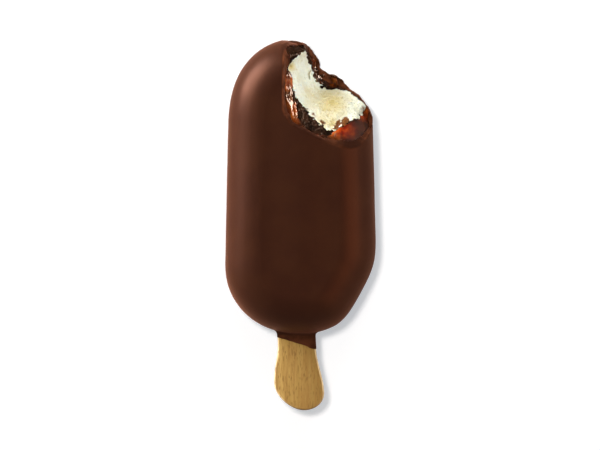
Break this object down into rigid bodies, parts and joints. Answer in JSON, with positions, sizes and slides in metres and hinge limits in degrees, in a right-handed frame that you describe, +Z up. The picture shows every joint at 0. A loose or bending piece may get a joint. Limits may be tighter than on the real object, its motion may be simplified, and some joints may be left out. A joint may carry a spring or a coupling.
{
  "type": "ice cream bar",
  "caption": "Chocolate-coated ice cream bar on a wooden stick, lying on its back, with a bite showing caramel, dark chocolate and vanilla ice cream.",
  "frame": {"origin": "middle of the footprint of the bar and its stick, on the surface that the bar lies on", "axes": "+X to the right across the bar, +Y from the stick towards the bar's tip, +Z up out of the shown face"},
  "size_m": [0.0492, 0.1212, 0.0255],
  "materials": {
    "chocolate_coat": "smooth semi-gloss milk chocolate",
    "caramel_layer": "wet, glossy amber caramel",
    "dark_chocolate_layer": "satin dark chocolate",
    "ice_cream": "soft creamy vanilla, bitten",
    "stick": "plain birch, fine lengthwise grain"
  },
  "bodies": {
    "root": {"chocolate_coat": "chocolate_coat", "caramel_layer": "caramel_layer", "dark_chocolate_layer": "dark_chocolate_layer", "ice_cream": "ice_cream", "stick": "stick"}
  },
  "joints": []
}
